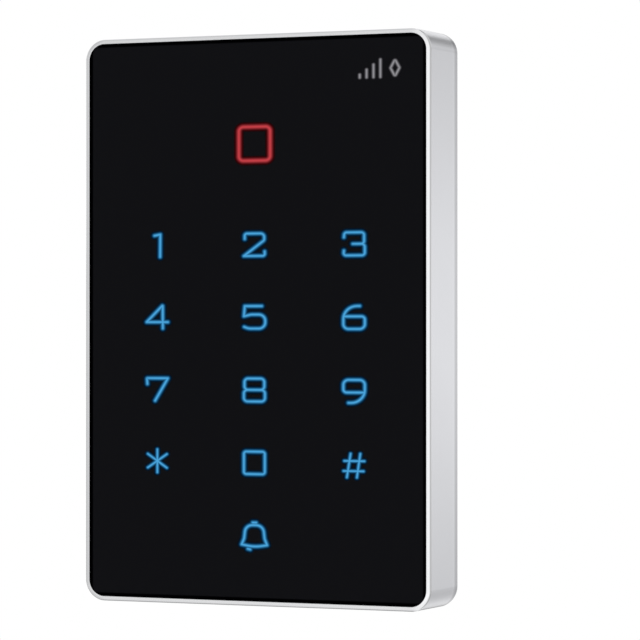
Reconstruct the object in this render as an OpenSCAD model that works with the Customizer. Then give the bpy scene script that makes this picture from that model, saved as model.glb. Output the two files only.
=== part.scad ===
// Touch keypad access reader, hung on a steel wall bracket. Millimetres.
// X runs from left to right, Y from the front face back to the wall, and Z is up.
// The origin lies on the wall plane, in the middle of the bracket's four wall holes.

/* [Body] */
// Width of the metal frame
body_w = 80; // [80:1:90]
// Height of the metal frame
body_h = 120; // [120:1:132]
// Depth of the metal frame, from its front lip to its rear edge
body_d = 15.3; // [15.3:0.1:18]
// Radius of the frame's four corners
corner_r = 4.5; // [3.5:0.5:6]
// Width of the polished lip around the glass
lip_w = 1; // [0.8:0.1:1.3]
// How far the lip stands in front of the glass
lip_proud = 0.25; // [0.1:0.05:0.3]
// Thickness of the frame's wall at its rear edge
wall_t = 1.6; // [1.4:0.1:1.8]
// Gap between the frame's rear edge and the wall, which lets the top edge swing
wall_gap = 1; // [1:0.1:1.2]

/* [Front stack] */
// Thickness of the front glass
glass_t = 2; // [1.6:0.1:2.4]
// Thickness of the adhesive gasket under the glass
gasket_t = 0.4; // [0.4:0.05:0.6]
// Thickness of the printed legend film
film_t = 0.2; // [0.15:0.05:0.3]
// Thickness of the frame's shelf that the glass is stuck to
shelf_t = 1.5; // [1.3:0.1:1.8]
// Height of the light baffle behind the shelf
flange_t = 1.2; // [1:0.1:1.5]
// Thickness of the circuit board
board_t = 1.6; // [1.2:0.2:1.6]

/* [Keys and lights] */
// Distance from one column of keys to the next
key_pitch_x = 22.8; // [21:0.2:23]
// Distance from one row of keys to the next
key_pitch_z = 15.2; // [14.6:0.2:15.4]
// Height of the row 4 5 6 above the middle of the frame
key_mid_z = 0.4; // [0:0.2:1]
// Distance of the square indicator above the row 1 2 3
indicator_rise = 21.3; // [21:0.1:22]
// Distance of the status lights below the frame's top edge
status_drop = 8; // [8:0.5:9]
// Distance between the two status lights
status_gap = 5.6; // [5.4:0.2:6]

/* [Rear cover] */
// Thickness of the rear cover
cover_t = 2; // [1.8:0.1:2]
// Depth of the bay behind the reader for the cable
bay_t = 1.5; // [1.3:0.1:2]
// Width of the cable bay
bay_w = 30; // [26:1:31]
// Height of the cable bay
bay_h = 36; // [32:1:38]
// Radius of the hole for the cable in the grommet
cable_r = 2.6; // [2:0.1:3]

/* [Wall bracket] */
// Thickness of the bracket's steel sheet
plate_t = 1.2; // [1:0.1:1.2]
// Width of the bracket
bracket_w = 72; // [72:1:74]
// Distance between the left and the right wall holes
wall_holes_x = 54; // [52:1:56]
// Distance between the upper and the lower wall holes
wall_holes_z = 80; // [76:1:82]
// Radius of the wall holes and half the width of the slots
wall_hole_r = 2.1; // [1.8:0.1:2.3]
// Length of the four box slots
slot_length = 8; // [7:0.5:8.5]
// Distance between the two upright slots, for a 3.28 inch switch box
box_slots_z = 83.3; // [82:0.1:84]
// Distance between the two level slots, for a 60 mm switch box
box_slots_x = 60.3; // [59:0.1:61]

/* [Security screw] */
// Radius of the M3 security screw's shank
screw_r = 1.5; // [1.4:0.1:1.5]
// Length of the security screw's shank
screw_length = 6.6; // [6.2:0.1:6.8]
// Radius of the security screw's button head
screw_head_r = 2.75; // [2.5:0.05:2.75]

/* [Hidden] */
$fn = 64;

// Clearances and common thicknesses
cut = 0.5;                // how far a cutting solid runs past the face it opens
fit_gap = 0.1;            // side clearance of a piece laid into a recess
slide_gap = 0.3;          // side clearance of a piece dropped between walls
thread_gap = 0.02;        // radial clearance drawn between a thread and its hole
running_gap = 0.05;       // radial clearance of pieces that move on each other
wall_clear = 0.2;         // between the cover's pockets and the frame's top or bottom wall
rest_gap = 0.15;          // between the rear cover and the bracket it rests against
pocket_wall = 1;          // thickness of the rear cover's pocket walls

// Depths behind the front of the lip
front_y = -(body_d + wall_gap);
glass_back = lip_proud + glass_t;
shelf_front = glass_back + gasket_t;
shelf_back = shelf_front + shelf_t;
board_front = shelf_back + flange_t;
board_back = board_front + board_t;
cover_back = body_d + wall_gap - plate_t - rest_gap;
cover_front = cover_back - cover_t;
seal_t = 0.6;
seal_w = 0.8;             // from the frame's wall to the inside of the seal
ledge_depth = cover_front - seal_t;
bay_back = cover_back - bay_t;
bay_front = cover_front - bay_t;
bay_r = 2;

// Openings through the frame, from front to rear
shelf_rim = 3;            // from the inside of the lip to the edge of the shelf
opening_w = body_w - 2 * (lip_w + shelf_rim);
opening_h = body_h - 2 * (lip_w + shelf_rim);
ledge_w = 1;
cavity_w = body_w - 2 * (wall_t + ledge_w);
cavity_h = body_h - 2 * (wall_t + ledge_w);
recess_w = body_w - 2 * wall_t;
recess_h = body_h - 2 * wall_t;
inner_r = corner_r - lip_w;
pocket_r = 1.5;

// Screws
pillar_r = 3;
pillar_root = 0.2;        // how far the pillars run into the frame's wall
pillar_x = cavity_w / 2 + pillar_root - pillar_r;
pillar_drop = 15;         // of the pillars from the frame's top and bottom edges
pillar_z = body_h / 2 - pillar_drop;
cover_screw_r = 1.25;
cover_screw_length = 7;
cover_head_r = 2.3;
cover_head_t = 1.2;
cover_drive = [2.6, 0.6, 0.9];
lug_r = 3;
lug_inset = 1.8;          // of the lugs from the edge of the frame's opening
lug_x = opening_w / 2 - lug_inset;
lug_drop = 33;
lug_z = body_h / 2 - lug_drop;
board_screw_r = 1;
board_head_r = 1.9;
board_head_t = 1.2;
board_drive = [2.2, 0.5, 0.7];
pillar_clear = 0.6;
pillar_keepout = pillar_r + pillar_clear;

// Keys: three columns, four rows and the bell key below them
key_spots = concat(
    [for (row = [-2:1], col = [-1:1]) [col * key_pitch_x, key_mid_z + row * key_pitch_z]],
    [[0, key_mid_z - 3 * key_pitch_z]]);
key_pocket_r = 5;
spring_r = 4.2;
spring_wire = 0.5;
led_size = [2.8, 3.5];
led_t = 1.4;
small_led_size = [1.6, 0.8];
small_led_t = 0.6;
indicator_z = key_mid_z + key_pitch_z + indicator_rise;
indicator_w = 8.5;
indicator_led_inset = 1;
indicator_led_x = indicator_w / 2 - indicator_led_inset;
indicator_margin = 1.75;
indicator_pocket_w = indicator_w + 2 * indicator_margin;
status_z = body_h / 2 - status_drop;
status_x = body_w / 2 - status_drop;
status_spots = [[status_x - status_gap, status_z], [status_x, status_z]];
status_pocket_r = 2.1;
coil_w = 58;
coil_h = 22;
coil_band = 2.4;
coil_t = 1.4;
coil_r = 4;

// Hanger: two pins in the rear cover that drop into the bracket's hooks
pin_r = 0.8;
pin_drop = 4.6;           // of the pins below the frame's top edge
pin_stand = 0.4;          // between the pins and the bracket's plate
pivot_y = -(plate_t + pin_stand + pin_r);
pivot_z = body_h / 2 - pin_drop;
hook_x = 22;
hook_w = 8;
hook_clear = 0.1;
hook_floor_z = pivot_z - pin_r - running_gap;
hook_front_y = pivot_y - pin_r - hook_clear - plate_t;
hook_tip = 0.6;
hook_side = 1;            // beside each hook, in its pocket
hanger_in_w = hook_w + 2 * hook_side;
pin_seat = 1.2;           // length of each end of a pin in the pocket's sides
hanger_out_w = hanger_in_w + 2 * pin_seat;
hook_front_clear = 0.4;
hook_low_clear = 0.8;
hanger_front_y = hook_front_y - hook_front_clear;
hanger_low_z = hook_floor_z - plate_t - hook_low_clear;
hanger_high_z = pivot_z + pin_r + slide_gap;
hanger_top_z = cavity_h / 2 - wall_clear;

// Security screw: up through the cover's seat into the nut on the bracket's tab
seat_low_z = -(cavity_h / 2 - wall_clear);
seat_t = 1.6;
tab_gap = 0.3;
tab_low_z = seat_low_z + seat_t + tab_gap;
tab_high_z = tab_low_z + plate_t;
nut_r = 2.5;
nut_t = 2.2;
nut_inset = 0.9;          // between the nut and the bracket's plate
screw_y = -(plate_t + nut_inset + nut_r);
tab_margin = 0.3;         // from the nut to the tab's front edge
tab_front_y = screw_y - nut_r - tab_margin;
tab_w = 9;
tab_side = 0.6;
seat_in_w = tab_w + 2 * tab_side;
seat_out_w = seat_in_w + 2 * pocket_wall;
tab_front_clear = 0.5;
screw_end_clear = 0.8;
seat_front_y = tab_front_y - tab_front_clear;
seat_high_z = seat_low_z + screw_length + screw_end_clear;
screw_head_t = 1.7;
seat_clear = 0.05;        // between the screw's head and its seat in the cover
socket_r = 1.1;
socket_t = 1.2;
head_side = 0.35;         // round the screw's head, in the frame's notch
notch_w = 2 * (screw_head_r + head_side);
notch_front_y = screw_y - screw_head_r - head_side;
slot_side = 0.3;          // beside the screw's shank, in the cover's slot
slot_w = 2 * (screw_r + slot_side);

// Bracket plate
bracket_low_z = tab_low_z;
bracket_high_z = hook_floor_z - plate_t;
window_w = 32;
window_h = 40;
bracket_r = 3;

// Rear cover outline and grommet
cover_w = recess_w - slide_gap;
cover_h = recess_h - slide_gap;
grommet_r = 5;
grommet_flange_w = 2;
grommet_flange_t = 1.2;
grommet_wall = 1.6;
grommet_nose_t = 1.2;
grommet_lip_t = 0.7;
grommet_lip_r = 6.4;

// Spots on the board from places given across and down from the frame's top edge,
// or across and up from its bottom edge
function upper(place) = [place[0], body_h / 2 - place[1]];
function lower(place) = [place[0], place[1] - body_h / 2];

// Relay: flat signal relay with its coil lying along X
relay_place = [-22, 26];
relay_spot = lower(relay_place);
relay_size = [14.2, 9.2];
relay_t = 5;
relay_skin = 0.5;
relay_base_t = 0.6;
relay_sheet = 0.5;        // thickness of the iron frame and the armature
relay_coil_r = 1.4;
relay_core_r = 0.5;
relay_rise = 2.8;         // of the coil's axis from the board
relay_axis = board_back + relay_rise;
coil_left = -5;
coil_right = 2.4;
pole_length = 0.5;
pole_gap = 0.4;
pole_x = coil_right + pole_length;
armature_h = 5;
armature_x = pole_x + pole_gap;
armature_below = 1.5;
armature_above = 1.3;
armature_front = relay_axis - armature_below;
armature_back = relay_axis + armature_above;
yoke_wall = 0.6;
yoke_left = coil_left - yoke_wall;
yoke_front = board_back + relay_base_t;

// Other parts on the rear of the board. Chips: width, height and thickness, legs a side, pitch
chip_stand_off = 0.1;
chip_leg = [1.2, 0.35, 0.3];
processor_place = [14, 28];
processor_spot = upper(processor_place);
processor_size = [10, 10, 1.4];
processor_legs = 16;
processor_pitch = 0.5;
touch_place = [0, 40];
touch_spot = lower(touch_place);
touch_size = [7.5, 10.3, 2];
touch_legs = 12;
touch_pitch = 0.8;
memory_place = [14, 40];
memory_spot = upper(memory_place);
memory_size = [4, 5, 1.5];
memory_legs = 4;
memory_pitch = 1.27;
regulator_place = [14, 46];
regulator_spot = lower(regulator_place);
regulator_size = [3.6, 6.6, 1.7];
regulator_legs = 3;
regulator_pitch = 2.3;
radio_place = [-13, 23];
radio_spot = upper(radio_place);
radio_size = [25, 18];
radio_board_t = 0.8;
shield_shift = [3, 0];
shield_size = [17, 16];
shield_t = 2.3;
shield_r = 0.8;
crystal_place = [25, 28];
crystal_spot = upper(crystal_place);
crystal_size = [4.6, 11, 3.5];
buzzer_place = [22, 26];
buzzer_spot = lower(buzzer_place);
buzzer_r = 6;
buzzer_t = 5;
buzzer_hole_r = 1.25;
buzzer_hole_t = 1;
connector_place = [0, 26];
connector_spot = lower(connector_place);
connector_ways = 8;
connector_pitch = 2;
connector_ends = 3.4;
connector_w = connector_ways * connector_pitch + connector_ends;
connector_d = 5.6;
connector_t = 4.6;
connector_wall = 0.8;
connector_floor = 1.2;
pin_w = 0.5;
pin_t = 4;
pin_spots = [for (way = [0:connector_ways - 1])
    connector_spot + [(way - (connector_ways - 1) / 2) * connector_pitch, 0]];
inductor_place = [24, 46];
inductor_spot = lower(inductor_place);
inductor_size = [7.2, 7.2, 3.5];
inductor_r = 1.6;
capacitor_places = [[25, 58], [25, 67], [-25, 64]];
capacitor_spots = [for (place = capacitor_places) lower(place)];
capacitor_r = 3.15;
capacitor_t = 5.2;
diode_place = [-26, 40];
diode_pitch = 6;
diode_spots = [for (step = [0:2]) lower(diode_place + [0, step * diode_pitch])];
diode_size = [4.6, 2.6];
diode_t = 2.2;
sensor_spot = [9, 12];
sensor_r = 2.1;
sensor_t = 2.2;
window_r = 2;

// Round-cornered outline
module rounded(w, h, r) {
    square([w - 2 * r, h], center = true);
    square([w, h - 2 * r], center = true);
    for (x = [-1, 1], z = [-1, 1])
        translate([x * (w / 2 - r), z * (h / 2 - r)])
            circle(r);
}

// Plate of an outline, from depth to depth + thick behind the front of the lip
module layer(depth, thick)
    translate([0, front_y + depth + thick, 0])
        rotate([90, 0, 0])
            linear_extrude(thick)
                children();

// Outline drawn at each of a list of spots
module at(spots)
    for (spot = spots)
        translate(spot)
            children();

// Spots mirrored into the four quarters
function four(x, z) = [for (sx = [-1, 1], sz = [-1, 1]) [sx * x, sz * z]];

// Box between two heights and two depths along Y, centred on x
module block(x, width, y, z)
    translate([x - width / 2, y[0], z[0]])
        cube([width, y[1] - y[0], z[1] - z[0]]);

// Bar along X through a point of the side view
module bar(x, length, y, z, r)
    translate([x - length / 2, y, z])
        rotate([0, 90, 0])
            cylinder(h = length, r = r);

// Flat outline stood on the rear of the board at each spot
module on_board(spots, thick)
    layer(board_back, thick)
        at(spots)
            children();

// Flat chip body with a row of legs along its left and its right side
module chip(spot, size, legs, pitch) {
    layer(board_back + chip_stand_off, size[2])
        translate(spot)
            square([size[0], size[1]], center = true);
    leg_spots = [for (place = [0:legs - 1], side = [-1, 1])
        spot + [side * (size[0] / 2 + chip_leg[0] / 3), (place - (legs - 1) / 2) * pitch]];
    on_board(leg_spots, chip_leg[2])
        square([chip_leg[0], chip_leg[1]], center = true);
}

// Cross-shaped recess, cut depth deep into the heads at each spot
module cross_drive(spots, head_back, drive)
    layer(head_back - drive[2], drive[2] + cut)
        at(spots) {
            square([drive[0], drive[1]], center = true);
            square([drive[1], drive[0]], center = true);
        }

module metal_frame() color("silver") difference() {
    union() {
        difference() {
            layer(0, body_d)
                rounded(body_w, body_h, corner_r);
            layer(-cut, shelf_front + cut)
                rounded(body_w - 2 * lip_w, body_h - 2 * lip_w, inner_r);
            layer(0, shelf_back + cut)
                rounded(opening_w, opening_h, pocket_r);
            layer(shelf_back, body_d)
                rounded(cavity_w, cavity_h, pocket_r);
            layer(ledge_depth, body_d)
                rounded(recess_w, recess_h, inner_r);
        }
        layer(shelf_back, cover_front - shelf_back)
            at(four(pillar_x, pillar_z))
                circle(pillar_r);
        layer(shelf_front, shelf_t)
            at(four(lug_x, lug_z))
                circle(lug_r);
    }
    layer(cover_front - cover_screw_length, cover_screw_length + cut)
        at(four(pillar_x, pillar_z))
            circle(cover_screw_r + thread_gap);
    layer(shelf_front - cut, shelf_t + 2 * cut)
        at(four(lug_x, lug_z))
            circle(board_screw_r + thread_gap);
    block(0, notch_w, [notch_front_y, cut], [-body_h / 2 - cut, -cavity_h / 2 + cut]);
}

module front_glass() color([0.07, 0.07, 0.08])
    layer(lip_proud, glass_t)
        rounded(body_w - 2 * (lip_w + fit_gap), body_h - 2 * (lip_w + fit_gap), inner_r - fit_gap);

module glass_gasket() color("black")
    layer(glass_back, gasket_t)
        difference() {
            rounded(body_w - 2 * (lip_w + fit_gap), body_h - 2 * (lip_w + fit_gap),
                inner_r - fit_gap);
            rounded(opening_w + 2 * fit_gap, opening_h + 2 * fit_gap, pocket_r);
        }

// Outline of the sheets that lie inside the shelf's opening
module inner_sheet()
    rounded(opening_w - 2 * slide_gap, opening_h - 2 * slide_gap, pocket_r);

module legend_film() color("dimgray")
    layer(glass_back, film_t)
        inner_sheet();

module diffuser_sheet() color("white")
    layer(glass_back + film_t, gasket_t - film_t)
        inner_sheet();

module light_baffle() color([0.15, 0.15, 0.16]) difference() {
    union() {
        layer(shelf_front, shelf_t)
            difference() {
                inner_sheet();
                at(four(lug_x, lug_z))
                    circle(lug_r + slide_gap);
            }
        layer(shelf_back, flange_t)
            difference() {
                rounded(cavity_w - 2 * slide_gap, cavity_h - 2 * slide_gap, pocket_r);
                at(four(pillar_x, pillar_z))
                    square(2 * pillar_keepout, center = true);
            }
    }
    layer(shelf_front - cut, shelf_t + flange_t + 2 * cut) {
        at(key_spots)
            circle(key_pocket_r);
        at(status_spots)
            circle(status_pocket_r);
        translate([0, indicator_z])
            rounded(indicator_pocket_w, indicator_pocket_w, pocket_r);
        at(four(lug_x, lug_z))
            circle(board_screw_r + fit_gap);
    }
    layer(shelf_front - cut, coil_t + cut + fit_gap)
        translate([0, indicator_z])
            difference() {
                rounded(coil_w + 2 * fit_gap, coil_h + 2 * fit_gap, coil_r + fit_gap);
                rounded(coil_w - 2 * (coil_band + fit_gap), coil_h - 2 * (coil_band + fit_gap),
                    coil_r - coil_band);
            }
}

module main_board() color([0.05, 0.32, 0.16])
    layer(board_front, board_t)
        difference() {
            rounded(cavity_w - 2 * slide_gap, cavity_h - 2 * slide_gap, pocket_r);
            at(four(pillar_x, pillar_z))
                square(2 * pillar_keepout, center = true);
            at(four(lug_x, lug_z))
                circle(board_screw_r + fit_gap);
        }

module key_leds() color("lightyellow")
    layer(board_front - led_t, led_t)
        at(key_spots)
            square(led_size, center = true);

module indicator_leds() color("lightyellow")
    layer(board_front - led_t, led_t)
        translate([0, indicator_z])
            at(four(indicator_led_x, indicator_led_x))
                square(led_size, center = true);

module status_leds() color("lightyellow")
    layer(board_front - small_led_t, small_led_t)
        at(status_spots)
            square(small_led_size, center = true);

// A ring round each key's light, with a flat contact ring against the sheets
module touch_springs() color("gold") {
    layer(shelf_front, board_front - shelf_front)
        at(key_spots)
            difference() {
                circle(spring_r);
                circle(spring_r - spring_wire);
            }
    layer(shelf_front, spring_wire)
        at(key_spots)
            difference() {
                circle(spring_r);
                circle(spring_r - 3 * spring_wire);
            }
}

module antenna_coil() color("peru")
    layer(shelf_front, coil_t)
        translate([0, indicator_z])
            difference() {
                rounded(coil_w, coil_h, coil_r);
                rounded(coil_w - 2 * coil_band, coil_h - 2 * coil_band, coil_r - coil_band);
            }

module radio_module() color([0.08, 0.1, 0.12])
    on_board([radio_spot], radio_board_t)
        square(radio_size, center = true);

module radio_shield() color("lightgray")
    layer(board_back + radio_board_t, shield_t)
        translate(radio_spot + shield_shift)
            rounded(shield_size[0], shield_size[1], shield_r);

module processor_chip() color([0.1, 0.1, 0.11])
    chip(processor_spot, processor_size, processor_legs, processor_pitch);

module touch_chip() color([0.1, 0.1, 0.11])
    chip(touch_spot, touch_size, touch_legs, touch_pitch);

module memory_chip() color([0.1, 0.1, 0.11])
    chip(memory_spot, memory_size, memory_legs, memory_pitch);

module crystal_can() color("lightgray")
    on_board([crystal_spot], crystal_size[2])
        rounded(crystal_size[0], crystal_size[1], crystal_size[0] / 2 - fit_gap);

module relay_base() color([0.2, 0.2, 0.22])
    on_board([relay_spot], relay_base_t)
        square(relay_size - (2 * relay_skin + fit_gap) * [1, 1], center = true);

module relay_case() color([0.85, 0.85, 0.83])
    difference() {
        on_board([relay_spot], relay_t)
            square(relay_size, center = true);
        layer(board_back - cut, relay_t - relay_skin + cut)
            translate(relay_spot)
                square(relay_size - 2 * relay_skin * [1, 1], center = true);
    }

// Bar along the relay's coil, between two places measured from its middle
module relay_bar(left, right, r)
    bar(relay_spot[0] + (left + right) / 2, right - left, front_y + relay_axis, relay_spot[1], r);

module relay_coil() color("peru")
    difference() {
        relay_bar(coil_left, coil_right, relay_coil_r);
        relay_bar(coil_left - cut, coil_right + cut, relay_core_r);
    }

// Iron core with the frame that stands on the base and carries the armature's edge
module relay_yoke() color("gray") {
    foot_w = armature_x + relay_sheet - yoke_left;
    relay_bar(coil_left, pole_x, relay_core_r);
    layer(yoke_front, relay_axis + relay_core_r - yoke_front)
        translate(relay_spot + [(yoke_left + coil_left) / 2, 0])
            square([coil_left - yoke_left, armature_h], center = true);
    layer(yoke_front, relay_sheet)
        translate(relay_spot + [yoke_left + foot_w / 2, 0])
            square([foot_w, armature_h], center = true);
}

module relay_armature() color("gray")
    layer(armature_front, armature_back - armature_front)
        translate(relay_spot + [armature_x + relay_sheet / 2, 0])
            square([relay_sheet, armature_h], center = true);

module buzzer() color([0.1, 0.1, 0.1])
    difference() {
        on_board([buzzer_spot], buzzer_t)
            circle(buzzer_r);
        layer(board_back + buzzer_t - buzzer_hole_t, buzzer_hole_t + cut)
            translate(buzzer_spot)
                circle(buzzer_hole_r);
    }

module wire_connector() color("ivory")
    difference() {
        on_board([connector_spot], connector_t)
            square([connector_w, connector_d], center = true);
        layer(board_back + connector_floor, connector_t)
            translate(connector_spot)
                square([connector_w, connector_d] - 2 * connector_wall * [1, 1], center = true);
        layer(board_back - cut, connector_t)
            at(pin_spots)
                square(pin_w + 2 * running_gap, center = true);
    }

module connector_pins() color("gold")
    on_board(pin_spots, pin_t)
        square(pin_w, center = true);

module power_inductor() color([0.25, 0.25, 0.27])
    on_board([inductor_spot], inductor_size[2])
        rounded(inductor_size[0], inductor_size[1], inductor_r);

module capacitors() color("lightsteelblue")
    on_board(capacitor_spots, capacitor_t)
        circle(capacitor_r);

module voltage_regulator() color([0.1, 0.1, 0.11])
    chip(regulator_spot, regulator_size, regulator_legs, regulator_pitch);

module protection_diodes() color([0.13, 0.13, 0.14])
    on_board(diode_spots, diode_t)
        square(diode_size, center = true);

module tamper_light_sensor() color("orangered")
    on_board([sensor_spot], sensor_t)
        circle(sensor_r);

module tamper_window() color([0.9, 0.95, 1, 0.5])
    layer(bay_front, cover_t)
        translate(sensor_spot)
            circle(window_r);

module rear_cover() color([0.13, 0.13, 0.14])
    difference() {
        union() {
            layer(cover_front, cover_t)
                rounded(cover_w, cover_h, inner_r - slide_gap);
            layer(bay_front, bay_t + cut)
                rounded(bay_w + 2 * cover_t, bay_h + 2 * cover_t, bay_r + cover_t);
            for (side = [-1, 1])
                block(side * hook_x, hanger_out_w,
                    [hanger_front_y - pocket_wall, front_y + cover_back],
                    [hanger_low_z - pocket_wall, hanger_top_z]);
            block(0, seat_out_w, [seat_front_y - pocket_wall, front_y + cover_back],
                [seat_low_z, seat_high_z + pocket_wall]);
        }
        for (side = [-1, 1]) {
            block(side * hook_x, hanger_in_w, [hanger_front_y, cut], [hanger_low_z, hanger_high_z]);
            bar(side * hook_x, hanger_out_w + cut, pivot_y, pivot_z, pin_r);
        }
        block(0, seat_in_w, [seat_front_y, cut], [seat_low_z + seat_t, seat_high_z]);
        block(0, slot_w, [screw_y, cut], [seat_low_z - cut, seat_high_z]);
        translate([0, screw_y, seat_low_z - cut])
            cylinder(h = seat_t + 2 * cut, d = slot_w);
        block(0, notch_w, [notch_front_y, cut], [-body_h / 2, seat_low_z]);
        layer(cover_back - bay_t, bay_t + cut)
            rounded(bay_w, bay_h, bay_r);
        layer(bay_front - cut, cover_t + 2 * cut) {
            circle(grommet_r);
            translate(sensor_spot)
                circle(window_r);
        }
        layer(bay_back - grommet_lip_t, grommet_lip_t + cut)
            circle(grommet_lip_r);
        layer(cover_front - cut, cover_t + 2 * cut)
            at(four(pillar_x, pillar_z))
                circle(cover_screw_r + fit_gap);
        layer(cover_back - cover_head_t, cover_head_t + cut)
            at(four(pillar_x, pillar_z))
                circle(cover_head_r + fit_gap);
    }

// The seal stops at the frame's notch, which the cover's screw seat closes
module rear_seal() color([0.2, 0.2, 0.2])
    layer(ledge_depth, seal_t)
        difference() {
            rounded(recess_w - 2 * fit_gap, recess_h - 2 * fit_gap, inner_r - fit_gap);
            rounded(recess_w - 2 * seal_w, recess_h - 2 * seal_w, inner_r - seal_w);
            translate([0, -body_h / 2])
                square([notch_w + 2 * fit_gap, body_h / 2], center = true);
        }

module cable_grommet() color([0.16, 0.16, 0.17])
    difference() {
        union() {
            layer(bay_front - grommet_flange_t, cover_t + grommet_flange_t)
                circle(grommet_r);
            layer(bay_front - grommet_flange_t, grommet_flange_t)
                circle(grommet_r + grommet_flange_w);
            layer(bay_front - grommet_flange_t - grommet_nose_t, grommet_nose_t)
                circle(cable_r + grommet_wall);
            layer(bay_back - grommet_lip_t, grommet_lip_t)
                circle(grommet_lip_r);
        }
        layer(0, body_d + wall_gap)
            circle(cable_r);
    }

module cover_screws() color("gray")
    difference() {
        union() {
            layer(cover_front - cover_screw_length, cover_screw_length + cover_t - fit_gap)
                at(four(pillar_x, pillar_z))
                    circle(cover_screw_r);
            layer(cover_back - cover_head_t, cover_head_t - fit_gap)
                at(four(pillar_x, pillar_z))
                    circle(cover_head_r);
        }
        cross_drive(four(pillar_x, pillar_z), cover_back - fit_gap, cover_drive);
    }

module board_screws() color("gray")
    difference() {
        union() {
            layer(shelf_front + fit_gap, board_back - shelf_front - fit_gap)
                at(four(lug_x, lug_z))
                    circle(board_screw_r);
            on_board(four(lug_x, lug_z), board_head_t)
                circle(board_head_r);
        }
        cross_drive(four(lug_x, lug_z), board_back + board_head_t, board_drive);
    }

module hanger_pins() color("lightgray")
    for (side = [-1, 1])
        bar(side * hook_x, hanger_out_w, pivot_y, pivot_z, pin_r);

module wall_bracket() color("gainsboro")
    difference() {
        union() {
            translate([0, 0, (bracket_low_z + bracket_high_z) / 2])
                rotate([90, 0, 0])
                    linear_extrude(plate_t)
                        rounded(bracket_w, bracket_high_z - bracket_low_z, bracket_r);
            for (side = [-1, 1]) {
                block(side * hook_x, hook_w, [-plate_t, 0], [bracket_high_z - cut, hook_floor_z]);
                block(side * hook_x, hook_w, [hook_front_y, 0], [hook_floor_z - plate_t, hook_floor_z]);
                block(side * hook_x, hook_w, [hook_front_y, hook_front_y + plate_t],
                    [hook_floor_z - plate_t, pivot_z + hook_tip]);
            }
            block(0, tab_w, [tab_front_y, 0], [tab_low_z, tab_high_z]);
        }
        translate([0, cut, 0])
            rotate([90, 0, 0])
                linear_extrude(plate_t + 2 * cut) {
                    rounded(window_w, window_h, bracket_r);
                    at(four(wall_holes_x / 2, wall_holes_z / 2))
                        circle(wall_hole_r);
                    for (side = [-1, 1]) {
                        translate([0, side * box_slots_z / 2])
                            slot(2 * wall_hole_r, slot_length);
                        translate([side * box_slots_x / 2, 0])
                            slot(slot_length, 2 * wall_hole_r);
                    }
                }
        translate([0, screw_y, tab_low_z - cut])
            cylinder(h = plate_t + 2 * cut, r = screw_r + running_gap);
    }

// Slot outline with round ends, longer along the longer of its two sides
module slot(w, h) {
    r = min(w, h) / 2;
    square([w > h ? w - 2 * r : w, w > h ? h : h - 2 * r], center = true);
    for (end = [-1, 1])
        translate([w > h ? end * (w / 2 - r) : 0, w > h ? 0 : end * (h / 2 - r)])
            circle(r);
}

module clinch_nut() color("silver")
    translate([0, screw_y, tab_high_z])
        difference() {
            cylinder(h = nut_t, r = nut_r);
            translate([0, 0, -cut])
                cylinder(h = nut_t + 2 * cut, r = screw_r + running_gap);
        }

module security_screw() color("silver")
    translate([0, screw_y, seat_low_z])
        difference() {
            union() {
                translate([0, 0, -seat_clear])
                    cylinder(h = screw_length, r = screw_r);
                translate([0, 0, -seat_clear - screw_head_t])
                    cylinder(h = screw_head_t, r = screw_head_r);
            }
            translate([0, 0, -seat_clear - screw_head_t - cut])
                cylinder(h = socket_t + cut, r = socket_r, $fn = 6);
        }

metal_frame();
front_glass();
glass_gasket();
legend_film();
diffuser_sheet();
light_baffle();
main_board();
key_leds();
indicator_leds();
status_leds();
touch_springs();
antenna_coil();
radio_module();
radio_shield();
processor_chip();
touch_chip();
memory_chip();
crystal_can();
relay_base();
relay_case();
relay_coil();
relay_yoke();
relay_armature();
buzzer();
wire_connector();
connector_pins();
power_inductor();
capacitors();
voltage_regulator();
protection_diodes();
tamper_light_sensor();
tamper_window();
rear_cover();
rear_seal();
cable_grommet();
cover_screws();
board_screws();
hanger_pins();
wall_bracket();
clinch_nut();
security_screw();
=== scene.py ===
# %% [markdown]
# # A glass keypad reader in a metal frame
#
# The object is a wall reader for a door: a black glass pane with glowing keys, held in a
# slim aluminium frame that hangs on a steel bracket. Its working parts come ready made
# as a fixed model. This notebook dresses that model: it finds where things are, makes
# the shapes that show, gives every part its finish, and sets up a plain studio.
#
# Everything is in metres. X runs to the right, Y from the front towards the wall and
# Z up, and the origin lies on the wall, in the middle of the bracket's four holes.

# %% Load the model
from math import radians

import bmesh
import bpy
from mathutils import Matrix, Vector


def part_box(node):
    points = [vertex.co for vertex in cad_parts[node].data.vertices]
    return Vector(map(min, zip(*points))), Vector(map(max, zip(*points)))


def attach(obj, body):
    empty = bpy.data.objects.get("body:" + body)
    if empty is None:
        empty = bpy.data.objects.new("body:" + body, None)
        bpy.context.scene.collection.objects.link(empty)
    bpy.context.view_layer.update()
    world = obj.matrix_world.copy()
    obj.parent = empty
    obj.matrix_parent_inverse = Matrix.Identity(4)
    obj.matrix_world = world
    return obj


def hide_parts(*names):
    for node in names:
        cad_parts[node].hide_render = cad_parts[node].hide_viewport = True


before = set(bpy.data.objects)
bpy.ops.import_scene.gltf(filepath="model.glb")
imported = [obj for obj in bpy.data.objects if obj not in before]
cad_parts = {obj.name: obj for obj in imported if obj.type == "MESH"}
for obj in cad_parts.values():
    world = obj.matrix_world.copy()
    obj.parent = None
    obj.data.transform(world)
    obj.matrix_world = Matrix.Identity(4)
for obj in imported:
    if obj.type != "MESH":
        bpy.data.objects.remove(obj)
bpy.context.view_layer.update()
MM = 0.001

# %% [markdown]
# ## Where things are
#
# No place is typed twice. The frame's box gives the front of its lip and its rear edge,
# the glass gives the width of the lip, and the small lights on the circuit board say
# where the keys are: each key has one light right behind it.

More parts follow.
